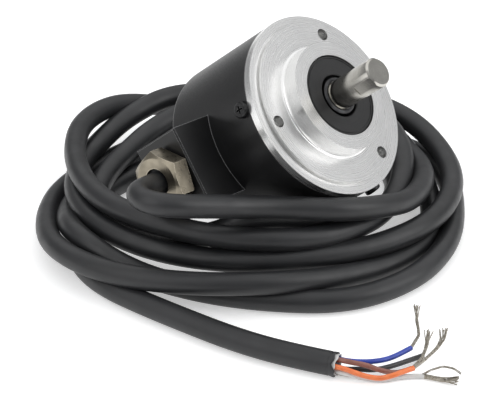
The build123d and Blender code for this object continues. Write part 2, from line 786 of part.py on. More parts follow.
wire_routes = {
    "blue": (
        25,
        [
            (56.0, -41.2, 3.4),
            (58.3, -38.7, 3.0),
            (60.2, -35.6, 2.7),
            (61.4, -32.1, 2.6),
            (62.2, -27.2, 2.6),
            (60.9, -21.5, 3.0),
            (57.8, -17.6, 4.0),
            (55.5, -13.7, 5.4),
        ],
    ),
    "brown": (
        95,
        [
            (56.3, -43.7, 4.5),
            (59.2, -42.2, 4.1),
            (62.1, -41.2, 3.3),
            (64.6, -39.0, 2.3),
            (66.0, -37.0, 2.1),
            (67.2, -34.5, 2.3),
            (67.3, -30.2, 3.0),
            (65.5, -25.3, 3.6),
            (63.7, -21.4, 4.8),
        ],
    ),
    "black": (
        298,
        [
            (56.4, -42.0, 1.9),
            (59.5, -40.1, 1.7),
            (61.5, -36.9, 1.6),
            (63.2, -32.6, 1.4),
            (65.3, -26.5, 1.2),
        ],
    ),
    "orange": (
        165,
        [
            (57.2, -45.4, 3.1),
            (60.7, -44.5, 2.6),
            (64.0, -43.4, 2.7),
            (66.4, -42.0, 3.7),
            (67.6, -39.6, 4.0),
            (68.9, -36.5, 4.0),
            (69.0, -31.5, 4.0),
            (68.7, -26.2, 4.1),
            (68.1, -22.2, 4.5),
            (66.7, -19.3, 5.4),
        ],
    ),
    "white": (
        230,
        [
            (58.0, -44.4, 1.4),
            (60.1, -42.7, 0.8),
            (63.3, -41.0, 0.7),
            (65.2, -38.2, 0.7),
            (67.3, -35.7, 0.7),
            (70.2, -33.6, 0.7),
            (74.2, -32.6, 0.7),
            (78.8, -31.3, 0.7),
        ],
    ),
}
for colour, (bearing, route) in wire_routes.items():
    cable_tube(from_jacket(bearing, wire_ring_r) + route, wire_dia, f"wire_{colour}")

shield_start = from_jacket(273, cable_dia / 2 - shield_dia / 2 - face_gap)
cable_tube(shield_start + [(56.8, -43.5, 0.6)], shield_dia, "shield_end")
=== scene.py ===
# %% [markdown]
# # A rotary encoder with its cable
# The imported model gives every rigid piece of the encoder. This lesson gives those pieces their
# metal, coated and moulded finishes, and lays the real cable and its bared wires round them.

import json
import math
import random

import bpy
from mathutils import Matrix, Vector


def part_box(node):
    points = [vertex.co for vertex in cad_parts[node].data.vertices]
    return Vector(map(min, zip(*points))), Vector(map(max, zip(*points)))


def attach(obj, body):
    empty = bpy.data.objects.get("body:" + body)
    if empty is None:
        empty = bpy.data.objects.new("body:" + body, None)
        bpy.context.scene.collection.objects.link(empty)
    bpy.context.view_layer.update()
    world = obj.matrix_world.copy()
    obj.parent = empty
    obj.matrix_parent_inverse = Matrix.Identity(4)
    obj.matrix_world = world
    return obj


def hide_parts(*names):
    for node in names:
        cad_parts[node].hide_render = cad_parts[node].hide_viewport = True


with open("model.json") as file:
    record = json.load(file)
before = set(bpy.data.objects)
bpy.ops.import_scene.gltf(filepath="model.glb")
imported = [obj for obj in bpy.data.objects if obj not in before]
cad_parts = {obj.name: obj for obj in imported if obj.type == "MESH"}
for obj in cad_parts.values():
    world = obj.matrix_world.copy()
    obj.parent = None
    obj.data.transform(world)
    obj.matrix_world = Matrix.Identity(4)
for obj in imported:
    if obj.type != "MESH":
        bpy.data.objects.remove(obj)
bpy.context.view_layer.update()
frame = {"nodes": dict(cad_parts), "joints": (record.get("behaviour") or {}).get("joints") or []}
nodes = frame["nodes"]
MM = 0.001
print("pieces in the packed model:", len(nodes))

# %% [markdown]
# ## The encoder's own axes
# The encoder lies on its side, leaning on its cable boss. The shaft's joint gives the line of the
# shaft, and the middle of the gland nut gives the direction in which the cable leaves. With those
# two, a point can be written in the encoder's own millimetres, as a turner would give it.

# %% The encoder's own axes
spin = next(joint for joint in frame["joints"] if joint["name"] == "shaft_spin")
face_centre = Vector(spin["pos_m"])
shaft_way = Vector(spin["axis"]).normalized()
nut_low, nut_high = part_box("gland_nut")
towards_nut = (nut_low + nut_high) / 2 - face_centre
gland_way = (towards_nut - towards_nut.dot(shaft_way) * shaft_way).normalized()
side_way = shaft_way.cross(gland_way)
lean = Matrix((gland_way, side_way, shaft_way)).transposed()
print("shaft points along", tuple(round(value, 3) for value in shaft_way))

# %% [markdown]
# ## Camera
# A long lens from a low three-quarter angle shows the flange, the shaft and the whole coil with
# little perspective. Standing it by two angles keeps it level, with no roll.

# %% Camera
CAMERA_PLACE = (0.3160, -0.4403, 0.3001)
CAMERA_AZIMUTH, CAMERA_ELEVATION = 36.22, 28.0
lens = bpy.data.cameras.new("camera")
lens.sensor_width = 36
lens.lens = 166.8
lens.clip_start, lens.clip_end = 0.05, 20
camera = bpy.data.objects.new("camera", lens)
camera.location = CAMERA_PLACE
camera.rotation_euler = (math.radians(90 - CAMERA_ELEVATION), 0, math.radians(CAMERA_AZIMUTH))
bpy.context.scene.collection.objects.link(camera)
bpy.context.scene.camera = camera
bpy.context.scene.view_settings.view_transform = "Standard"
print("lens", lens.lens, "mm")

# %% [markdown]
# ## Floor and studio light
# A catalogue table is a sheet of white card under large soft lamps. The card is a wide plane. Its
# own white carries a shadow. A little light of its own lifts it to the clean white of a catalogue
# page. That light is shown only to the camera, to mirrored rays and to rays through glass, so it
# doesn't light the encoder's dull pieces.

# %% Floor
bpy.ops.object.select_all(action="DESELECT")
bpy.ops.mesh.primitive_plane_add(size=6)
floor = bpy.context.object
floor.name = "floor"
card = bpy.data.materials.new("white_card")
card.use_nodes = True
card_tree = card.node_tree
card_shader = card_tree.nodes["Principled BSDF"]
card_shader.inputs["Base Color"].default_value = (0.86, 0.86, 0.86, 1)
card_shader.inputs["Roughness"].default_value = 0.9
card_shader.inputs["Specular IOR Level"].default_value = 0.1
card_shader.inputs["Emission Color"].default_value = (1, 1, 1, 1)


def seen_by_eye(tree):
    """1 for what is seen straight, mirrored or through glass, and 0 for the rays that light."""
    path = tree.nodes.new("ShaderNodeLightPath")
    seen = path.outputs["Is Camera Ray"]
    for way in ("Is Glossy Ray", "Is Transmission Ray"):
        either = tree.nodes.new("ShaderNodeMath")
        either.operation = "MAXIMUM"
        tree.links.new(seen, either.inputs[0])
        tree.links.new(path.outputs[way], either.inputs[1])
        seen = either.outputs[0]
    return seen


CARD_GLOW = 0.44
glow = card_tree.nodes.new("ShaderNodeMath")
glow.operation = "MULTIPLY"
glow.inputs[1].default_value = CARD_GLOW
card_tree.links.new(seen_by_eye(card_tree), glow.inputs[0])
card_tree.links.new(glow.outputs[0], card_shader.inputs["Emission Strength"])
floor.data.materials.append(card)
print("floor", tuple(round(side, 2) for side in floor.dimensions))

# %% [markdown]
# ## Room light
# The room is brighter overhead than at the horizon, so metal has something to mirror.

# %% Room light
ROOM_STRENGTH = 0.62
room = bpy.data.worlds.new("room")
bpy.context.scene.world = room
room.use_nodes = True
room_tree = room.node_tree
background = room_tree.nodes["Background"]
sky_place = room_tree.nodes.new("ShaderNodeTexCoord")
sky_split = room_tree.nodes.new("ShaderNodeSeparateXYZ")
sky_ramp = room_tree.nodes.new("ShaderNodeValToRGB")
sky_ramp.color_ramp.elements[0].position = 0.0
sky_ramp.color_ramp.elements[0].color = (0.30, 0.30, 0.31, 1)
sky_ramp.color_ramp.elements[1].position = 0.75
sky_ramp.color_ramp.elements[1].color = (0.86, 0.87, 0.88, 1)
room_tree.links.new(sky_place.outputs["Generated"], sky_split.inputs[0])
room_tree.links.new(sky_split.outputs["Z"], sky_ramp.inputs["Fac"])
room_tree.links.new(sky_ramp.outputs["Color"], background.inputs["Color"])
background.inputs["Strength"].default_value = ROOM_STRENGTH
print("room light", ROOM_STRENGTH)

# %% [markdown]
# ## Lamps
# A photographer would hang one very wide lamp overhead, so that turned metal mirrors an even
# white, and stand two smaller ones at the right and in front, which light the cable's side. The
# overhead one is wide because a small one burns a white spot into the foot of the pilot.

# %% Lamps
TABLE_MIDDLE = Vector((0, 0, 20 * MM))


def softbox(name, place, size, watts):
    """A square lamp that faces the middle of the table."""
    lamp = bpy.data.lights.new(name, "AREA")
    lamp.shape = "SQUARE"
    lamp.size = size
    lamp.energy = watts
    holder = bpy.data.objects.new(name, lamp)
    holder.location = place
    aim = Vector(place) - TABLE_MIDDLE
    holder.rotation_euler = aim.to_track_quat("Z", "Y").to_euler()
    bpy.context.scene.collection.objects.link(holder)


softbox("overhead_box", (-0.15, 0.35, 1.05), 2.2, 9.0)
softbox("right_box", (0.95, 0.35, 0.55), 0.8, 5.0)
softbox("front_box", (-0.35, -1.0, 0.7), 1.2, 5.0)

# %% [markdown]
# ## The cable's route
# The encoder has a round six-millimetre cable of plasticised PVC. It leaves the gland, turns
# back over its own coil and goes round five and a half times before its cut end. Nobody tied the
# turns, so each has its own size, and they ride over each other. Every turn has a few stations,
# each a bearing round the coil's middle, a distance from it and a height, and a loop walks round
# them in even steps, never lower than a cable that lies on the table.

# %% The cable's route, out of the gland
CABLE_DIA = 6.1 * MM
lead_route = [
    (-11.60, -31.73, 27.42), (-12.00, -36.69, 27.88), (-10.9, -41.9, 29.0),
    (-7.4, -45.2, 29.8), (-2.2, -45.7, 30.1), (2.5, -42.3, 29.5), (5.9, -35.4, 27.6),
    (9.9, -25.8, 24.6), (17.6, -15.0, 22.1), (28.0, -7.4, 21.4), (32.4, 5.2, 18.4),
    (32.5, 18.9, 14.4),
]
tail_route = [
    (-28.0, -44.3, 3.1), (-16.8, -48.6, 3.1), (-3.3, -49.7, 3.1), (11.2, -50.1, 3.1),
    (25.7, -50.1, 3.1), (39.7, -48.3, 3.1), (50.8, -45.3, 3.1),
]

# %% The coil's turns
COIL_MIDDLE = (-15.4, 11.8)
# each turn's stations: bearing in degrees, distance and height in millimetres
turns = [
    [(40, 47, 11), (66, 45.5, 9.8), (84, 45.8, 10.8), (100, 48, 11.4), (112, 51.2, 12),
     (126, 55.5, 8.8), (142, 57.6, 4.4), (154, 57, 6.6), (166, 55, 12), (180, 52.8, 14.8),
     (192, 51.5, 15), (204, 49, 15), (216, 46.6, 15), (246, 44.8, 15), (276, 43.5, 15.5),
     (306, 46, 15.7), (336, 45.8, 13.8)],
    [(6, 42, 12), (36, 41.5, 13), (60, 43.5, 15.5), (84, 43.3, 16.3), (100, 43.3, 15),
     (112, 43.6, 14.8), (126, 44.3, 13.5), (160, 40.5, 11), (186, 37.3, 9), (216, 39.4, 9),
     (236, 43.3, 9), (250, 42.5, 8.8), (276, 40.3, 9), (290, 39.5, 12), (304, 39.5, 18.3),
     (316, 39.8, 19.3), (336, 39.3, 14.3)],
    [(6, 37, 7.5), (36, 39.5, 4), (66, 43.5, 3.1), (84, 42, 5), (100, 42, 8.5),
     (112, 43.5, 9.3), (126, 49.3, 9.7), (142, 53.4, 11), (154, 52.4, 12), (168, 50, 10.6),
     (180, 48.2, 9.4), (192, 46.8, 9), (204, 46.6, 9.1), (216, 47.3, 9.3), (246, 47.6, 9.3),
     (276, 46, 9), (306, 46.3, 9.6), (336, 48, 9.5)],
    [(6, 53, 9), (36, 55.5, 9), (60, 55.5, 9.6), (76, 54.3, 13.5), (90, 53.5, 12.6),
     (100, 53.2, 9), (112, 52.6, 5.4), (126, 49.7, 3.4), (142, 47.2, 3.1), (160, 45.2, 3.1),
     (180, 44, 3.1), (200, 48.8, 3.1), (218, 53.8, 3.1), (235, 56.6, 4.6), (250, 61, 6.8),
     (266, 61.1, 7.6), (282, 60, 9), (306, 56.7, 9), (322, 54.5, 7.7), (340, 51.5, 4)],
    [(6, 52.8, 3.1), (36, 48.8, 3.1), (60, 49.5, 5), (76, 51.1, 8.9), (88, 52, 8),
     (100, 50.4, 4.6), (112, 47, 3.2), (126, 43.5, 3.1), (142, 41, 3.1), (160, 39, 3.1),
     (180, 37.8, 3.1), (200, 42.5, 3.1), (216, 47.4, 3.1), (228, 49.7, 3.9), (240, 53, 8.6),
     (252, 55, 9.5), (265, 54, 6.5), (282, 51, 3.3), (306, 53.5, 3.1), (336, 61.5, 3.1)],
    [(6, 58.5, 3.1), (36, 55, 3.1), (60, 57, 3.1), (76, 53.5, 3.1), (88, 48.6, 3.1),
     (100, 44.3, 3.1), (112, 40.6, 3.1), (126, 37.3, 3.1), (142, 34.8, 3.1), (160, 32.8, 3.1),
     (180, 31.6, 3.1), (200, 36.2, 3.1), (216, 41.3, 3.1), (230, 43.8, 3.1), (243, 48.8, 3.1)],
]


def station_of(point):
    """The bearing, distance and height of a point of the route from the coil's middle."""
    across, along = point[0] - COIL_MIDDLE[0], point[1] - COIL_MIDDLE[1]
    return math.degrees(math.atan2(along, across)), math.hypot(across, along), point[2]


stations = [station_of(lead_route[-2]), station_of(lead_route[-1])]
for count, turn in enumerate(turns):
    stations += [(bearing + 360 * count, away, height) for bearing, away, height in turn]
bearing, away, height = station_of(tail_route[0])
stations.append((bearing + 360 * len(turns), away, height))
print("stations", len(stations), "from", round(stations[0][0]), "to", round(stations[-1][0]))

# %% Walking round the turns


def slope(index, part):
    """How fast a distance or a height changes at a station."""
    before, after = stations[max(index - 1, 0)], stations[min(index + 1, len(stations) - 1)]
    return (after[part] - before[part]) / (after[0] - before[0])


def eased(index, share, part):
    """A distance or height between two stations, with no kink at either."""
    low, high = stations[index], stations[index + 1]
    run = high[0] - low[0]
    rise = (2 * share ** 3 - 3 * share ** 2 + 1) * low[part]
    rise += (share ** 3 - 2 * share ** 2 + share) * run * slope(index, part)
    rise += (3 * share ** 2 - 2 * share ** 3) * high[part]
    return rise + (share ** 3 - share ** 2) * run * slope(index + 1, part)


STEP = 20
FIRST_BEARING = 30
KEEP_FROM_TAIL = 6
LOWEST = 3.1
coil_route = []
bearing = FIRST_BEARING
while bearing < stations[-1][0] - KEEP_FROM_TAIL:
    index = max(place for place in range(len(stations) - 1) if stations[place][0] <= bearing)
    share = (bearing - stations[index][0]) / (stations[index + 1][0] - stations[index][0])
    # a spline cuts inside its control points, so they stand a little further out
    away = eased(index, share, 1) / math.cos(math.radians(STEP / 2))
    angle = math.radians(bearing)
    coil_route.append(
        (
            COIL_MIDDLE[0] + away * math.cos(angle),
            COIL_MIDDLE[1] + away * math.sin(angle),
            max(eased(index, share, 2), LOWEST),
        )
    )
    bearing += STEP
print("points in the coil", len(coil_route))

# %% [markdown]
# ## The cable
# One open NURBS spline takes the whole route as its control points, so the cable has no kinks,
# and a round bevel makes it a tube. The bevel is one metre deep and each point's radius scales
# it down to half the cable's diameter, so Blender also knows how much room the cable takes up.
# The order and the endpoint setting are given after the points, because before them they would
# leave straight runs.

# %% Laying the cable


def smooth_line(name, points, diameter, turns_round=8):
    """A round cord of that diameter along one NURBS spline, its points in millimetres."""
    line = bpy.data.curves.new(name, "CURVE")
    line.dimensions = "3D"
    spline = line.splines.new("NURBS")
    spline.points.add(len(points) - 1)
    for control, place in zip(spline.points, points):
        control.co = (place[0] * MM, place[1] * MM, place[2] * MM, 1)
        control.radius = diameter / 2
    spline.order_u = 3
    spline.use_endpoint_u = True
    line.resolution_u = 8
    line.bevel_depth = 1
    line.bevel_resolution = turns_round
    line.use_fill_caps = True
    piece = bpy.data.objects.new(name, line)
    bpy.context.scene.collection.objects.link(piece)
    return piece


cable = smooth_line("cable", lead_route + coil_route + tail_route, CABLE_DIA)
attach(cable, "housing")
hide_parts("cable_lead", "cable_coil", "cable_tail")
print("control points", len(cable.data.splines[0].points))

# %% [markdown]
# ## Five wires
# Inside the jacket run five thin wires with coloured insulation, fanned out by hand before they
# are connected. Each is a small cord of its own, on the route its solid has. It starts a little
# inside the jacket, so that no gap shows at the cut, and stops where the insulation was stripped.

# %% Where the wires leave the jacket
WIRE_DIA = 1.3 * MM
WIRE_RING = 1.6
WIRE_STRAIGHT = 2.4
WIRE_INSIDE = 2.5
SPREAD_BEYOND_CUT = 1.24
jacket_end = Vector(tail_route[-1])
jacket_way = (Vector(tail_route[-1]) - Vector(tail_route[-2])).normalized()
wires_spread = jacket_end + SPREAD_BEYOND_CUT * jacket_way
jacket_side = Vector((0, 0, 1)).cross(jacket_way).normalized()
jacket_up = jacket_way.cross(jacket_side)


def out_of_jacket(bearing, ring):
    """Two points of a wire at that bearing, one inside the jacket and one out of its cut end."""
    angle = math.radians(bearing)
    start = wires_spread + ring * (math.cos(angle) * jacket_side + math.sin(angle) * jacket_up)
    return [tuple(start - WIRE_INSIDE * jacket_way), tuple(start + WIRE_STRAIGHT * jacket_way)]


wire_routes = {
    "blue": (25, [(56.0, -41.2, 3.4), (58.3, -38.7, 3.0), (60.2, -35.6, 2.7),
                  (61.4, -32.1, 2.6), (62.2, -27.2, 2.6), (60.9, -21.5, 3.0),
                  (57.8, -17.6, 4.0), (55.5, -13.7, 5.4)]),
    "brown": (95, [(56.3, -43.7, 4.5), (59.2, -42.2, 4.1), (62.1, -41.2, 3.3),
                   (64.6, -39.0, 2.3), (66.0, -37.0, 2.1), (67.2, -34.5, 2.3),
                   (67.3, -30.2, 3.0), (65.5, -25.3, 3.6), (63.7, -21.4, 4.8)]),
    "black": (298, [(56.4, -42.0, 1.9), (59.5, -40.1, 1.7), (61.5, -36.9, 1.6),
                    (63.2, -32.6, 1.4), (65.3, -26.5, 1.2)]),
    "orange": (165, [(57.2, -45.4, 3.1), (60.7, -44.5, 2.6), (64.0, -43.4, 2.7),
                     (66.4, -42.0, 3.7), (67.6, -39.6, 4.0), (68.9, -36.5, 4.0),
                     (69.0, -31.5, 4.0), (68.7, -26.2, 4.1), (68.1, -22.2, 4.5),
                     (66.7, -19.3, 5.4)]),
    "white": (230, [(58.0, -44.4, 1.4), (60.1, -42.7, 0.8), (63.3, -41.0, 0.7),
                    (65.2, -38.2, 0.7), (67.3, -35.7, 0.7), (70.2, -33.6, 0.7),
                    (74.2, -32.6, 0.75), (78.2, -31.3, 0.75)]),
}
# how many points of each route are still under insulation
insulated = {"blue": 5, "brown": 6, "black": 5, "orange": 6, "white": 6}

for colour, (leaves_at, route) in wire_routes.items():
    covered = out_of_jacket(leaves_at, WIRE_RING) + route[: insulated[colour]]
    wire = smooth_line(f"wire_{colour}_insulation", covered, WIRE_DIA, 6)
    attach(wire, "housing")
    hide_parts(f"wire_{colour}")

# %% [markdown]
# ## Bared strands
# Each conductor is a bundle of fine tinned strands, twisted together and a little frayed at the
# tip. One curve object holds a bundle: every strand is a thin line that winds round the middle
# of the wire's route and spreads near its end. The white wire is bared further than the others,
# with more strands, and a few of them stand off in a loop of their own.

# %% Bundles of strands
STRAND_DIA = 0.24 * MM
LOOSE_STRAND_DIA = 0.16 * MM
strand_random = random.Random(7)


def bundle(name, middle, count, spread, twist, diameter=STRAND_DIA, tip_spread=1.0):
    """Strands wound round a middle line; spread is how far out they lie, in millimetres."""
    line = bpy.data.curves.new(name, "CURVE")
    line.dimensions = "3D"
    line.bevel_depth = 1
    line.bevel_resolution = 2
    line.resolution_u = 4
    line.use_fill_caps = True
    along = [Vector(place) for place in middle]
    last = len(along) - 1
    for strand in range(count):
        start_angle = 2 * math.pi * strand / count
        fray = strand_random.uniform(-1, 1) * tip_spread, strand_random.uniform(-1, 1) * tip_spread
        spline = line.splines.new("NURBS")
        spline.points.add(last)
        for index, place in enumerate(along):
            share = index / last
            way = (along[min(index + 1, last)] - along[max(index - 1, 0)]).normalized()
            side = way.cross(Vector((0, 0, 1))).normalized()
            up = side.cross(way)
            angle = start_angle + twist * share
            out = side * math.cos(angle) + up * math.sin(angle)
            loose = share ** 3
            point = place + out * spread + side * fray[0] * loose + up * abs(fray[1]) * loose
            spline.points[index].co = (point.x * MM, point.y * MM, point.z * MM, 1)
            spline.points[index].radius = diameter / 2
        spline.order_u = 3
        spline.use_endpoint_u = True
    piece = bpy.data.objects.new(name, line)
    bpy.context.scene.collection.objects.link(piece)
    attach(piece, "housing")
    return piece


def between(points, share_step):
    """The same line with points added evenly between its own, for the twist to follow."""
    filled = []
    for low, high in zip(points, points[1:]):
        for step in range(share_step):
            filled.append(tuple(Vector(low).lerp(Vector(high), step / share_step)))
    return filled + [tuple(points[-1])]


for colour, (leaves_at, route) in wire_routes.items():
    if colour == "black":
        continue
    bare = route[insulated[colour] - 1:]
    count, spread = (16, 0.55) if colour == "white" else (10, 0.3)
    bundle(f"strands_{colour}", between(bare, 3), count, spread, twist=5.0)
loose_loop = [
    (69.6, -33.9, 1.0), (71.6, -32.9, 2.6), (74.2, -31.8, 4.1), (76.6, -30.9, 3.9),
    (78.2, -30.2, 2.5),
]
bundle(
    "strands_loose", between(loose_loop, 2), count=5, spread=0.2, twist=3.0,
    diameter=LOOSE_STRAND_DIA, tip_spread=0.4,
)

# %% [markdown]
# ## The braid's stub
# A shield of braided copper lies under the jacket. At the cut it is twisted into a short stub,
# which leaves at the bottom, where it is nearly against the jacket's wall.

# %% The braid's stub
JACKET_WALL = 0.5
BRAID_CLEARANCE = 0.03
STUB_BEARING = 273
stub_ring = CABLE_DIA / MM / 2 - JACKET_WALL - BRAID_CLEARANCE
stub_start = out_of_jacket(STUB_BEARING, stub_ring)
stub_route = between(stub_start + [(56.8, -43.5, 0.6)], 3)
braid_stub = bundle("braid_stub", stub_route, count=9, spread=0.34, twist=4.0, tip_spread=0.2)
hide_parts("shield_end")
print("braid stub starts", round(stub_ring, 2), "mm from the cable's middle")

# %% [markdown]
# ## The cut end of the jacket
# The jacket was cut by hand, so its mouth is a little flared and uneven, with a pale wrap of
# thin film inside. A short tube of few faces is pulled open at its outer ring, moved a little in
# and out at each corner, given a wall by Solidify and rounded by a subdivision.

# %% The jacket's mouth
TUBE_STEPS = 3


def turned_along(way):
    """A turn that takes the z axis to that direction."""
    return way.to_track_quat("Z", "Y").to_matrix().to_4x4()


def settle(piece):
    """Puts the object's place and turn into its mesh."""
    bpy.ops.object.select_all(action="DESELECT")
    piece.select_set(True)
    bpy.context.view_layer.objects.active = piece
    bpy.ops.object.transform_apply(location=True, rotation=True, scale=True)


def open_tube(name, radius, length, wall, flare, unevenness, seed):
    """A short open tube whose far rim is flared and uneven, in millimetres."""
    bpy.ops.object.select_all(action="DESELECT")
    bpy.ops.mesh.primitive_circle_add(vertices=20, radius=radius * MM)
    tube = bpy.context.object
    tube.name = name
    bpy.ops.object.mode_set(mode="EDIT")
    bpy.ops.mesh.select_all(action="SELECT")
    for step in range(TUBE_STEPS):
        bpy.ops.mesh.extrude_region_move(
            TRANSFORM_OT_translate={"value": (0, 0, length / TUBE_STEPS * MM)}
        )
    bpy.ops.transform.resize(value=(1 + flare, 1 + flare, 1))
    bpy.ops.object.mode_set(mode="OBJECT")
    chance = random.Random(seed)
    for vertex in tube.data.vertices:
        if vertex.co.z > length * 0.9 * MM:
            vertex.co.z += chance.uniform(-1, 1) * unevenness * MM
            vertex.co.xy *= 1 + chance.uniform(-0.05, 0.05)
    bpy.ops.object.mode_set(mode="EDIT")
    bpy.ops.mesh.select_all(action="SELECT")
    bpy.ops.mesh.normals_make_consistent(inside=False)
    bpy.ops.object.mode_set(mode="OBJECT")
    thick = tube.modifiers.new("wall", "SOLIDIFY")
    thick.thickness = wall * MM
    thick.offset = -1
    bpy.ops.object.modifier_apply(modifier=thick.name)
    round_off = tube.modifiers.new("round", "SUBSURF")
    round_off.levels = round_off.render_levels = 2
    bpy.ops.object.modifier_apply(modifier=round_off.name)
    bpy.ops.object.mode_set(mode="EDIT")
    bpy.ops.mesh.select_all(action="SELECT")
    bpy.ops.mesh.normals_make_consistent(inside=False)
    bpy.ops.object.mode_set(mode="OBJECT")
    bpy.ops.object.shade_smooth()
    return tube


def put_on_cut(piece, inside):
    """Stands a tube on the cable's line, starting that many millimetres inside the cut."""
    place = Matrix.Translation((jacket_end - jacket_way * inside) * MM)
    piece.matrix_world = place @ turned_along(jacket_way)
    settle(piece)


jacket_mouth = open_tube(
    "jacket_mouth", radius=3.0, length=3.4, wall=0.75, flare=0.12, unevenness=0.7, seed=3
)
put_on_cut(jacket_mouth, inside=2.0)
inner_wrap = open_tube(
    "inner_wrap", radius=2.5, length=2.9, wall=0.3, flare=0.12, unevenness=0.5, seed=11
)
put_on_cut(inner_wrap, inside=0.9)
for piece, slot in ((jacket_mouth, "cable_jacket"), (inner_wrap, "wire_white")):
    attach(piece, "housing")
print("jacket end pieces", jacket_mouth.name, inner_wrap.name)


def line_length(piece):
    """The length of a cord's own line, read from the spline with no bevel."""
    depth = piece.data.bevel_depth
    piece.data.bevel_depth = 0
    depsgraph = bpy.context.evaluated_depsgraph_get()
    thread = bpy.data.meshes.new_from_object(piece.evaluated_get(depsgraph))
    piece.data.bevel_depth = depth
    points = [vertex.co.copy() for vertex in thread.vertices]
    return sum((after - before).length for before, after in zip(points, points[1:]))


cable_length = line_length(cable)
print("cable length", round(cable_length, 3), "m")

# %% [markdown]
# ## Finishes
# Every finish is a shader with its own detail. These small helpers add one thing each: grain
# that follows the piece's own place, a change of colour, a change of roughness, or a low relief.

# %% Helpers for finishes


def start_finish(name, colour, metallic, roughness):
    """A new material and its shader, with an even colour to begin from."""
    finish = bpy.data.materials.new(name)
    finish.use_nodes = True
    shader = finish.node_tree.nodes["Principled BSDF"]
    shader.inputs["Base Color"].default_value = (*colour, 1)
    shader.inputs["Metallic"].default_value = metallic
    shader.inputs["Roughness"].default_value = roughness
    return finish, shader


def grain(finish, size, detail=3.0, stretch=(1, 1, 1)):
    """Noise on the piece's own place, with spots of about that size in millimetres."""
    tree = finish.node_tree
    place = tree.nodes.new("ShaderNodeTexCoord")
    mapping = tree.nodes.new("ShaderNodeMapping")
    mapping.inputs["Scale"].default_value = stretch
    noise = tree.nodes.new("ShaderNodeTexNoise")
    noise.inputs["Scale"].default_value = 1 / (size * MM)
    noise.inputs["Detail"].default_value = detail
    tree.links.new(place.outputs["Object"], mapping.inputs["Vector"])
    tree.links.new(mapping.outputs["Vector"], noise.inputs["Vector"])
    return noise.outputs["Fac"]


def colour_by(finish, shader, source, dark, light, low=0.3, high=0.7):
    """Lets the colour wander between two shades."""
    ramp = finish.node_tree.nodes.new("ShaderNodeValToRGB")
    ramp.color_ramp.elements[0].position = low
    ramp.color_ramp.elements[0].color = (*dark, 1)
    ramp.color_ramp.elements[1].position = high
    ramp.color_ramp.elements[1].color = (*light, 1)
    finish.node_tree.links.new(source, ramp.inputs["Fac"])
    finish.node_tree.links.new(ramp.outputs["Color"], shader.inputs["Base Color"])
    return ramp.outputs["Color"]


def roughness_by(finish, shader, source, low, high):
    """Lets the roughness wander between two values."""
    spread = finish.node_tree.nodes.new("ShaderNodeMapRange")
    spread.inputs["From Min"].default_value = 0.3
    spread.inputs["From Max"].default_value = 0.7
    spread.inputs["To Min"].default_value = low
    spread.inputs["To Max"].default_value = high
    finish.node_tree.links.new(source, spread.inputs["Value"])
    finish.node_tree.links.new(spread.outputs["Result"], shader.inputs["Roughness"])


def relief_by(finish, shader, source, depth, strength=1.0):
    """A low relief of that depth in millimetres."""
    bump = finish.node_tree.nodes.new("ShaderNodeBump")
    bump.inputs["Distance"].default_value = depth * MM
    bump.inputs["Strength"].default_value = strength
    finish.node_tree.links.new(source, bump.inputs["Height"])
    finish.node_tree.links.new(bump.outputs["Normal"], shader.inputs["Normal"])


def turning_marks(finish, pitch, detail=2.0):
    """Fine rings about the shaft's line, as a lathe tool leaves on a face and round a rim."""
    tree = finish.node_tree
    place = tree.nodes.new("ShaderNodeTexCoord")
    centred = tree.nodes.new("ShaderNodeMapping")
    centred.vector_type = "TEXTURE"
    centred.inputs["Location"].default_value = face_centre
    centred.inputs["Rotation"].default_value = lean.to_euler()
    split = tree.nodes.new("ShaderNodeSeparateXYZ")
    flat = tree.nodes.new("ShaderNodeCombineXYZ")
    away = tree.nodes.new("ShaderNodeVectorMath")
    away.operation = "LENGTH"
    both = tree.nodes.new("ShaderNodeMath")
    both.operation = "ADD"
    noise = tree.nodes.new("ShaderNodeTexNoise")
    noise.noise_dimensions = "1D"
    noise.inputs["Scale"].default_value = 1 / (pitch * MM)
    noise.inputs["Detail"].default_value = detail
    tree.links.new(place.outputs["Object"], centred.inputs["Vector"])
    tree.links.new(centred.outputs["Vector"], split.inputs[0])
    tree.links.new(split.outputs["X"], flat.inputs["X"])
    tree.links.new(split.outputs["Y"], flat.inputs["Y"])
    tree.links.new(flat.outputs[0], away.inputs[0])
    tree.links.new(away.outputs["Value"], both.inputs[0])
    tree.links.new(split.outputs["Z"], both.inputs[1])
    tree.links.new(both.outputs[0], noise.inputs["W"])
    return noise.outputs["Fac"]


def give(finish, *names):
    """Puts the finish in every material slot of those pieces."""
    for name in names:
        piece = nodes[name] if name in nodes else bpy.data.objects[name]
        if not piece.data.materials:
            piece.data.materials.append(finish)
        for index in range(len(piece.data.materials)):
            piece.data.materials[index] = finish
    print(finish.name, "on", ", ".join(names))


def paint_edge_highlight_and_wear(finish, shader, width, ground, highlight_and_wear):
    """Paints a paler line where two faces meet, as wide as the broken edge of the real piece:
    partly rubbed wear and partly a painted highlight that the rounded edge would catch.
    """
    tree = finish.node_tree
    rounded = tree.nodes.new("ShaderNodeBevel")
    rounded.samples = 6
    rounded.inputs["Radius"].default_value = width * MM
    surface = tree.nodes.new("ShaderNodeNewGeometry")
    alike = tree.nodes.new("ShaderNodeVectorMath")
    alike.operation = "DOT_PRODUCT"
    edge = tree.nodes.new("ShaderNodeMapRange")
    edge.inputs["From Min"].default_value = 0.97
    edge.inputs["From Max"].default_value = 0.86
    tree.links.new(rounded.outputs["Normal"], alike.inputs[0])
    tree.links.new(surface.outputs["True Normal"], alike.inputs[1])
    tree.links.new(alike.outputs["Value"], edge.inputs["Value"])
    blend = tree.nodes.new("ShaderNodeMix")
    blend.data_type = "RGBA"
    blend.inputs["B"].default_value = (*highlight_and_wear, 1)
    tree.links.new(edge.outputs["Result"], blend.inputs["Factor"])
    tree.links.new(ground, blend.inputs["A"])
    tree.links.new(blend.outputs["Result"], shader.inputs["Base Color"])


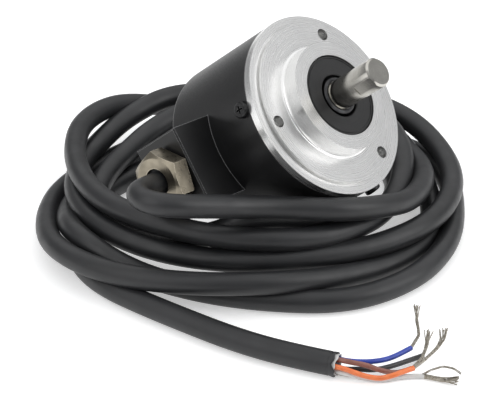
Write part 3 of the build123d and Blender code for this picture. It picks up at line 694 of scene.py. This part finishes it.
# %% [markdown]
# ## Turned and machined metal
# The flange is turned from aluminium and left bright. Rings at the tool's pitch run round its
# faces and its rim alike, because they follow the sum of the distance from the axis and the
# place along it. The shaft and the bearing rings are ground, so their rings are finer and their
# polish is higher.

# %% Bright aluminium flange
aluminium, shader = start_finish("turned_aluminium", (0.80, 0.80, 0.81), 1.0, 0.3)
marks = turning_marks(aluminium, 0.22)
colour_by(aluminium, shader, grain(aluminium, 9), (0.80, 0.80, 0.795), (0.87, 0.868, 0.86))
roughness_by(aluminium, shader, marks, 0.25, 0.33)
relief_by(aluminium, shader, marks, 0.002, 0.5)
give(aluminium, "flange")

# %% Hub and its clamp, finer turned aluminium
hub_metal, shader = start_finish("hub_aluminium", (0.78, 0.78, 0.78), 1.0, 0.35)
marks = turning_marks(hub_metal, 0.35)
colour_by(hub_metal, shader, grain(hub_metal, 5), (0.70, 0.70, 0.71), (0.80, 0.80, 0.80))
roughness_by(hub_metal, shader, marks, 0.3, 0.45)
relief_by(hub_metal, shader, marks, 0.01, 0.5)
give(hub_metal, "disc_hub", "disc_clamp_ring")

# %% Ground stainless shaft
stainless, shader = start_finish("ground_stainless", (0.62, 0.60, 0.57), 1.0, 0.3)
marks = turning_marks(stainless, 0.3)
colour_by(stainless, shader, grain(stainless, 6, 2), (0.47, 0.455, 0.42), (0.56, 0.545, 0.505))
roughness_by(stainless, shader, marks, 0.15, 0.23)
relief_by(stainless, shader, marks, 0.0012, 0.5)
give(stainless, "shaft")

# %% Bearing steel, spring steel and the code disc
bearing_steel, shader = start_finish("bearing_steel", (0.66, 0.66, 0.67), 1.0, 0.14)
marks = turning_marks(bearing_steel, 0.1)
roughness_by(bearing_steel, shader, marks, 0.1, 0.2)
colour_by(bearing_steel, shader, grain(bearing_steel, 4), (0.60, 0.60, 0.62), (0.70, 0.70, 0.71))
give(
    bearing_steel,
    "front_bearing_outer_ring", "front_bearing_inner_ring", "front_bearing_balls",
    "front_bearing_cage", "rear_bearing_outer_ring", "rear_bearing_inner_ring",
    "rear_bearing_balls", "rear_bearing_cage", "bearing_spacer",
)
spring_steel, shader = start_finish("spring_steel", (0.42, 0.41, 0.40), 1.0, 0.34)
spots = grain(spring_steel, 1.2)
colour_by(spring_steel, shader, spots, (0.34, 0.33, 0.32), (0.48, 0.47, 0.46))
roughness_by(spring_steel, shader, spots, 0.28, 0.45)
give(spring_steel, "preload_washer", "shaft_clip")
disc_steel, shader = start_finish("etched_disc_steel", (0.55, 0.56, 0.58), 1.0, 0.22)
spots = grain(disc_steel, 2.5)
colour_by(disc_steel, shader, spots, (0.50, 0.51, 0.53), (0.60, 0.61, 0.63))
roughness_by(disc_steel, shader, spots, 0.16, 0.3)
give(disc_steel, "code_disc")

# %% [markdown]
# ## Black pieces
# The cover is die-cast and coated in satin black, with a very fine grain and paler lines along its
# edges, partly rubbed coat and partly a painted highlight. The seal, the gasket and the grommet
# are moulded rubber, duller than the coat. The screws and the shaft's collar are blackened steel.

# %% Satin black cover
black_coat, shader = start_finish("satin_black_coat", (0.006, 0.006, 0.0065), 0.0, 0.34)
shader.inputs["Specular IOR Level"].default_value = 0.42
fine = grain(black_coat, 0.35, 4)
coat_colour = colour_by(
    black_coat, shader, grain(black_coat, 7), (0.004, 0.004, 0.0045), (0.009, 0.009, 0.0095)
)
# paler edges on the cover: partly rubbed coat, partly a painted highlight along each edge
paint_edge_highlight_and_wear(black_coat, shader, 0.4, coat_colour, (0.26, 0.26, 0.265))
roughness_by(black_coat, shader, fine, 0.3, 0.46)
relief_by(black_coat, shader, fine, 0.012, 0.5)
give(black_coat, "body_cover")

# %% Rubber and moulded plastic
rubber, shader = start_finish("black_rubber", (0.016, 0.016, 0.017), 0.0, 0.6)
fine = grain(rubber, 0.4, 4)
colour_by(rubber, shader, grain(rubber, 3), (0.011, 0.011, 0.012), (0.024, 0.024, 0.025))
roughness_by(rubber, shader, fine, 0.5, 0.75)
relief_by(rubber, shader, fine, 0.02, 0.6)
give(rubber, "cover_gasket", "gland_grommet")
seal_finish, shader = start_finish("black_seal", (0.007, 0.007, 0.0075), 0.0, 0.45)
marks = turning_marks(seal_finish, 0.3)
roughness_by(seal_finish, shader, marks, 0.34, 0.55)
relief_by(seal_finish, shader, marks, 0.012, 0.5)
spots = grain(seal_finish, 2)
colour_by(seal_finish, shader, spots, (0.005, 0.005, 0.0055), (0.010, 0.010, 0.0105))
give(seal_finish, "seal_cover")
holder, shader = start_finish("moulded_black", (0.02, 0.02, 0.02), 0.0, 0.5)
fine = grain(holder, 0.3, 4)
colour_by(holder, shader, grain(holder, 2.5), (0.014, 0.014, 0.014), (0.028, 0.028, 0.028))
roughness_by(holder, shader, fine, 0.42, 0.6)
relief_by(holder, shader, fine, 0.015, 0.5)
give(holder, "emitter_holder", "sensor_housing", "line_driver_chips")

# %% Blackened steel
blackened, shader = start_finish("blackened_steel", (0.06, 0.06, 0.062), 0.9, 0.3)
spots = grain(blackened, 0.8)
steel_colour = colour_by(blackened, shader, spots, (0.02, 0.02, 0.0205), (0.05, 0.05, 0.051))
# paler edges on the screw heads and their cross: a painted highlight
paint_edge_highlight_and_wear(blackened, shader, 0.08, steel_colour, (0.26, 0.26, 0.265))
roughness_by(blackened, shader, spots, 0.26, 0.46)
give(blackened, "cover_screws")
collar_finish, shader = start_finish("oiled_collar", (0.06, 0.06, 0.062), 1.0, 0.3)
marks = turning_marks(collar_finish, 0.25)
roughness_by(collar_finish, shader, marks, 0.24, 0.4)
colour_by(collar_finish, shader, grain(collar_finish, 2), (0.04, 0.04, 0.042), (0.09, 0.09, 0.092))
give(collar_finish, "shaft_collar")
zinc, shader = start_finish("zinc_screws", (0.62, 0.63, 0.66), 1.0, 0.28)
spots = grain(zinc, 0.7)
colour_by(zinc, shader, spots, (0.55, 0.56, 0.60), (0.70, 0.70, 0.72))
roughness_by(zinc, shader, spots, 0.2, 0.36)
give(zinc, "disc_clamp_screws", "board_screws")

# %% [markdown]
# ## The gland's plated brass
# The hex nut and the gland's body are brass under a worn, warm-grey plating. Large soft patches
# let the brass through, its corners are paler, partly rubbed bright and partly a painted
# highlight, and light wear changes the gloss.

# %% Plated brass
plated, shader = start_finish("worn_plated_brass", (0.36, 0.32, 0.25), 1.0, 0.34)
patches = grain(plated, 3.2, 2)
brass_colour = colour_by(
    plated, shader, patches, (0.20, 0.178, 0.138), (0.32, 0.285, 0.222), 0.3, 0.7
)
# paler corners on the brass: partly rubbed plating, partly a painted highlight along each edge
paint_edge_highlight_and_wear(plated, shader, 0.25, brass_colour, (0.66, 0.60, 0.48))
roughness_by(plated, shader, grain(plated, 1.2, 3, (1, 1, 0.2)), 0.26, 0.34)
relief_by(plated, shader, grain(plated, 0.9, 2), 0.002, 0.5)
give(plated, "gland_nut", "gland_body", "board_pillars")

# %% [markdown]
# ## Electronics
# The board is green solder mask over copper, a little mottled. The lens and the reticle are
# clear, and the header is cream nylon.

# %% Board, lens, reticle and header
board_green, shader = start_finish("green_board", (0.01, 0.10, 0.04), 0.0, 0.35)
spots = grain(board_green, 1.4, 4)
colour_by(board_green, shader, spots, (0.008, 0.075, 0.03), (0.018, 0.13, 0.055))
roughness_by(board_green, shader, spots, 0.28, 0.44)
relief_by(board_green, shader, spots, 0.02, 0.4)
give(board_green, "circuit_board")
lens_clear, shader = start_finish("clear_lens", (0.86, 0.88, 0.90), 0.0, 0.06)
shader.inputs["Transmission Weight"].default_value = 0.9
shader.inputs["IOR"].default_value = 1.5
roughness_by(lens_clear, shader, grain(lens_clear, 0.8), 0.04, 0.12)
give(lens_clear, "emitter_led")
reticle, shader = start_finish("reticle_glass", (0.80, 0.86, 0.84), 0.0, 0.05)
shader.inputs["Transmission Weight"].default_value = 0.85
roughness_by(reticle, shader, grain(reticle, 1.0), 0.03, 0.1)
give(reticle, "reticle_glass")
nylon, shader = start_finish("cream_nylon", (0.78, 0.75, 0.66), 0.0, 0.5)
spots = grain(nylon, 0.9, 4)
colour_by(nylon, shader, spots, (0.72, 0.69, 0.60), (0.82, 0.79, 0.71))
roughness_by(nylon, shader, spots, 0.42, 0.58)
relief_by(nylon, shader, spots, 0.015, 0.4)
give(nylon, "cable_header")

# %% [markdown]
# ## Cable and wires
# Plasticised PVC is a dull near-black with a slight orange-peel skin. The wires have the same
# skin in their colours, glossier, and the strands are tinned copper.

# %% Black jacket
jacket, shader = start_finish("pvc_jacket", (0.016, 0.0165, 0.018), 0.0, 0.42)
peel = grain(jacket, 0.5, 4)
colour_by(jacket, shader, grain(jacket, 14), (0.012, 0.0125, 0.0135), (0.020, 0.0205, 0.0225))
roughness_by(jacket, shader, grain(jacket, 5, 4), 0.38, 0.5)
relief_by(jacket, shader, peel, 0.02, 0.5)
give(jacket, "cable", "jacket_mouth")

# %% Coloured insulation
insulation_colours = {
    "blue": ((0.008, 0.03, 0.30), (0.02, 0.065, 0.45)),
    "brown": ((0.20, 0.075, 0.055), (0.30, 0.125, 0.095)),
    "black": ((0.010, 0.010, 0.011), (0.022, 0.022, 0.024)),
    "orange": ((0.80, 0.17, 0.04), (0.92, 0.24, 0.07)),
    "white": ((0.66, 0.66, 0.65), (0.80, 0.80, 0.79)),
}
for colour, (dark, light) in insulation_colours.items():
    skin, shader = start_finish(f"{colour}_insulation", light, 0.0, 0.35)
    colour_by(skin, shader, grain(skin, 1.8, 3), dark, light)
    roughness_by(skin, shader, grain(skin, 0.7, 4), 0.28, 0.45)
    relief_by(skin, shader, grain(skin, 0.3, 3), 0.006, 0.5)
    shader.inputs["Coat Weight"].default_value = 0.25
    shader.inputs["Coat Roughness"].default_value = 0.2
    give(skin, f"wire_{colour}_insulation")

# %% Tinned strands and the inner wrap
tinned, shader = start_finish("tinned_strands", (0.36, 0.33, 0.28), 1.0, 0.36)
spots = grain(tinned, 0.6, 3)
colour_by(tinned, shader, spots, (0.24, 0.215, 0.175), (0.46, 0.43, 0.375))
roughness_by(tinned, shader, spots, 0.22, 0.4)
give(
    tinned, "strands_blue", "strands_brown", "strands_orange", "strands_white", "strands_loose",
    "braid_stub",
)
film, shader = start_finish("wrap_film", (0.62, 0.62, 0.61), 0.0, 0.45)
spots = grain(film, 0.9, 4)
colour_by(film, shader, spots, (0.45, 0.45, 0.44), (0.72, 0.72, 0.71))
roughness_by(film, shader, spots, 0.35, 0.55)
relief_by(film, shader, spots, 0.06, 0.7)
give(film, "inner_wrap")
